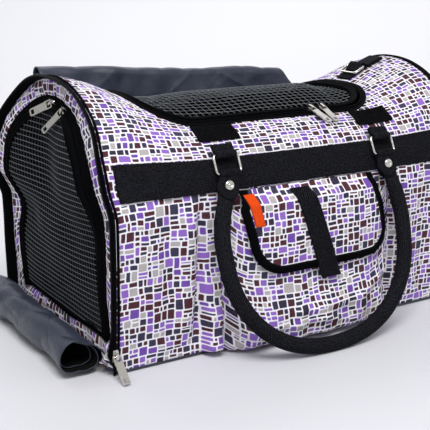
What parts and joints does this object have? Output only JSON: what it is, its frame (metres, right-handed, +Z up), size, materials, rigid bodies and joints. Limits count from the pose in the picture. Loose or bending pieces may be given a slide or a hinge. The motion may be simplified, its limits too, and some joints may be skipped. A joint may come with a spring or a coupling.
{
  "type": "pet transport carrier",
  "caption": "Soft-sided pet carrier with an arched mosaic-print shell, mesh end and top doors, rolled covers, a flap pocket and webbing handles on metal rings.",
  "frame": {"origin": "centre of the underside, on the floor", "axes": "+X along the length towards the end whose cover is zipped shut, -Y towards the pocket side, +Z up"},
  "size_m": [0.5367, 0.4102, 0.2908],
  "materials": {
    "printed_fabric": "woven polyester printed with small rounded blocks in violet, maroon, navy and grey on white",
    "lining_nylon": "dark grey coated nylon with a soft sheen, creased",
    "quilted_mat": "padded nylon mat",
    "stiffener_board": "matt hardboard",
    "base_fabric": "coarse coated nylon",
    "black_webbing": "ribbed polypropylene webbing",
    "hook_and_loop": "loop pile",
    "black_mesh": "coated open square mesh",
    "zip_tape": "zip tape with a nylon coil and a ribbed binding",
    "nickel_wire": "nickel-plated wire",
    "nickel_cast": "nickel-plated die casting",
    "label_fabric": "plain orange woven label"
  },
  "bodies": {
    "shell": {"front_panel": "printed_fabric", "rear_panel": "printed_fabric", "top_panel": "printed_fabric", "base_panel": "base_fabric", "base_board": "stiffener_board", "floor_mat": "quilted_mat", "left_end_frame": "printed_fabric", "right_end_frame": "printed_fabric", "left_door_zip": "zip_tape", "right_window_binding": "zip_tape", "right_window_mesh": "black_mesh", "left_cover_zip": "zip_tape", "right_cover_zip": "zip_tape", "front_strap": "black_webbing", "rear_strap": "black_webbing", "hook_patch_left": "hook_and_loop", "hook_patch_right": "hook_and_loop", "top_door_zip": "zip_tape", "front_ring_loop_left": "black_webbing", "front_ring_loop_right": "black_webbing", "rear_ring_loop_left": "black_webbing", "rear_ring_loop_right": "black_webbing", "right_ridge_tab": "black_webbing", "pocket_pouch": "printed_fabric"},
    "left_door": {"left_door_binding": "zip_tape", "left_door_mesh": "black_mesh"},
    "right_cover": {"right_cover_panel": "printed_fabric"},
    "left_cover": {"left_cover_roll": "lining_nylon"},
    "top_door": {"top_door_binding": "zip_tape", "top_door_mesh": "black_mesh"},
    "top_cover": {"top_cover_fold": "lining_nylon"},
    "pocket_flap": {"pocket_flap_panel": "printed_fabric", "pocket_flap_binding": "black_webbing", "pocket_flap_strip": "black_webbing", "pocket_label": "label_fabric"},
    "front_ring_left": {"front_handle_ring_left": "nickel_wire"},
    "front_ring_right": {"front_handle_ring_right": "nickel_wire"},
    "front_handle": {"front_handle": "black_webbing", "front_handle_rivet_left": "nickel_cast", "front_handle_rivet_right": "nickel_cast"},
    "rear_ring_left": {"rear_handle_ring_left": "nickel_wire"},
    "rear_ring_right": {"rear_handle_ring_right": "nickel_wire"},
    "rear_handle": {"rear_handle": "black_webbing", "rear_handle_rivet_left": "nickel_cast", "rear_handle_rivet_right": "nickel_cast"},
    "right_ridge_ring": {"right_ridge_ring": "nickel_wire"},
    "left_door_rear_slider": {"left_door_rear_slider": "nickel_cast"},
    "left_door_rear_pull": {"left_door_rear_pull": "nickel_cast"},
    "left_door_front_slider": {"left_door_front_slider": "nickel_cast"},
    "left_door_front_pull": {"left_door_front_pull": "nickel_cast"},
    "top_door_left_slider": {"top_door_left_slider": "nickel_cast"},
    "top_door_left_pull": {"top_door_left_pull": "nickel_cast"},
    "top_door_right_slider": {"top_door_right_slider": "nickel_cast"},
    "top_door_right_pull": {"top_door_right_pull": "nickel_cast"},
    "left_cover_slider": {"left_cover_slider": "nickel_cast"},
    "left_cover_pull": {"left_cover_pull": "nickel_cast"},
    "right_cover_slider": {"right_cover_slider": "nickel_cast"},
    "right_cover_pull": {"right_cover_pull": "nickel_cast"}
  },
  "joints": [
    {"name": "left_door_hinge", "type": "hinge", "parent": "shell", "child": "left_door", "pos_m": [-0.2373, 0, 0.0371], "axis": [0, -1, 0], "range_deg": [0, 70]},
    {"name": "right_cover_hinge", "type": "hinge", "parent": "shell", "child": "right_cover", "pos_m": [0.2417, 0, 0.0041], "axis": [0, 1, 0], "range_deg": [0, 90]},
    {"name": "left_cover_hinge", "type": "hinge", "parent": "shell", "child": "left_cover", "pos_m": [-0.2383, 0, 0.0015], "axis": [0, 1, 0], "range_deg": [0, 6]},
    {"name": "top_door_hinge", "type": "hinge", "parent": "shell", "child": "top_door", "pos_m": [0, 0.0808, 0.2418], "axis": [-1, 0, 0], "range_deg": [0, 75]},
    {"name": "top_cover_hinge", "type": "hinge", "parent": "shell", "child": "top_cover", "pos_m": [0, 0.098, 0.246], "axis": [1, 0, 0], "range_deg": [-20, 10]},
    {"name": "pocket_flap_hinge", "type": "hinge", "parent": "shell", "child": "pocket_flap", "pos_m": [0, -0.1413, 0.176], "axis": [-1, 0, 0], "range_deg": [0, 115]},
    {"name": "front_ring_left_hinge", "type": "hinge", "parent": "shell", "child": "front_ring_left", "pos_m": [-0.106, -0.133, 0.2149], "axis": [-1, 0, 0], "range_deg": [0, 110]},
    {"name": "front_ring_right_hinge", "type": "hinge", "parent": "shell", "child": "front_ring_right", "pos_m": [0.106, -0.133, 0.2149], "axis": [-1, 0, 0], "range_deg": [0, 110]},
    {"name": "front_handle_hinge", "type": "hinge", "parent": "front_ring_left", "child": "front_handle", "pos_m": [-0.106, -0.1415, 0.1968], "axis": [-1, 0, 0], "range_deg": [0, 35]},
    {"name": "rear_ring_left_hinge", "type": "hinge", "parent": "shell", "child": "rear_ring_left", "pos_m": [-0.106, 0.133, 0.2149], "axis": [1, 0, 0], "range_deg": [0, 110]},
    {"name": "rear_ring_right_hinge", "type": "hinge", "parent": "shell", "child": "rear_ring_right", "pos_m": [0.106, 0.133, 0.2149], "axis": [1, 0, 0], "range_deg": [0, 110]},
    {"name": "rear_handle_hinge", "type": "hinge", "parent": "rear_ring_left", "child": "rear_handle", "pos_m": [-0.106, 0.1415, 0.1968], "axis": [1, 0, 0], "range_deg": [0, 35]},
    {"name": "right_ridge_ring_hinge", "type": "hinge", "parent": "shell", "child": "right_ridge_ring", "pos_m": [0.181, 0, 0.28069], "axis": [0, 1, 0], "range_deg": [0, 150]},
    {"name": "left_door_rear_slider_travel", "type": "hinge", "parent": "left_door", "child": "left_door_rear_slider", "pos_m": [-0.2373, 0, 0.15], "axis": [-1, 0, 0], "range_deg": [0, 85]},
    {"name": "left_door_rear_pull_hinge", "type": "hinge", "parent": "left_door_rear_slider", "child": "left_door_rear_pull", "pos_m": [-0.242, -0.00394, 0.26293], "axis": [0, 0.454, 0.891], "range_deg": [0, 110]},
    {"name": "left_door_front_slider_travel", "type": "hinge", "parent": "left_door", "child": "left_door_front_slider", "pos_m": [-0.2373, 0, 0.15], "axis": [1, 0, 0], "range_deg": [0, 65]},
    {"name": "left_door_front_pull_hinge", "type": "hinge", "parent": "left_door_front_slider", "child": "left_door_front_pull", "pos_m": [-0.242, -0.03304, 0.25806], "axis": [0, 0.866, 0.5], "range_deg": [0, 104]},
    {"name": "top_door_left_slider_travel", "type": "slide", "parent": "top_door", "child": "top_door_left_slider", "axis": [-1, 0, 0], "range_m": [0, 0.138]},
    {"name": "top_door_left_pull_hinge", "type": "hinge", "parent": "top_door_left_slider", "child": "top_door_left_pull", "pos_m": [0.044, -0.08271, 0.24628], "axis": [-0.977, -0.2006, -0.073], "range_deg": [0, 140]},
    {"name": "top_door_right_slider_travel", "type": "slide", "parent": "top_door", "child": "top_door_right_slider", "axis": [1, 0, 0], "range_m": [0, 0.018]},
    {"name": "top_door_right_pull_hinge", "type": "hinge", "parent": "top_door_right_slider", "child": "top_door_right_pull", "pos_m": [0.06, -0.08271, 0.24628], "axis": [-0.9999, -0.0147, -0.0053], "range_deg": [0, 140]},
    {"name": "left_cover_slider_travel", "type": "slide", "parent": "shell", "child": "left_cover_slider", "axis": [0, -0.0499, 0.9988], "range_m": [0, 0.06]},
    {"name": "left_cover_pull_hinge", "type": "hinge", "parent": "left_cover_slider", "child": "left_cover_pull", "pos_m": [-0.24, -0.14067, 0.023], "axis": [-1, 0, 0], "range_deg": [0, 94]},
    {"name": "right_cover_slider_travel", "type": "slide", "parent": "shell", "child": "right_cover_slider", "axis": [0, -0.0499, 0.9988], "range_m": [0, 0.06]},
    {"name": "right_cover_pull_hinge", "type": "hinge", "parent": "right_cover_slider", "child": "right_cover_pull", "pos_m": [0.241, -0.14067, 0.023], "axis": [-1, 0, 0], "range_deg": [0, 94]}
  ],
  "couplings": [
    {"joint": "front_ring_right_hinge", "follows": "front_ring_left_hinge", "ratio": 1},
    {"joint": "rear_ring_right_hinge", "follows": "rear_ring_left_hinge", "ratio": 1}
  ]
}
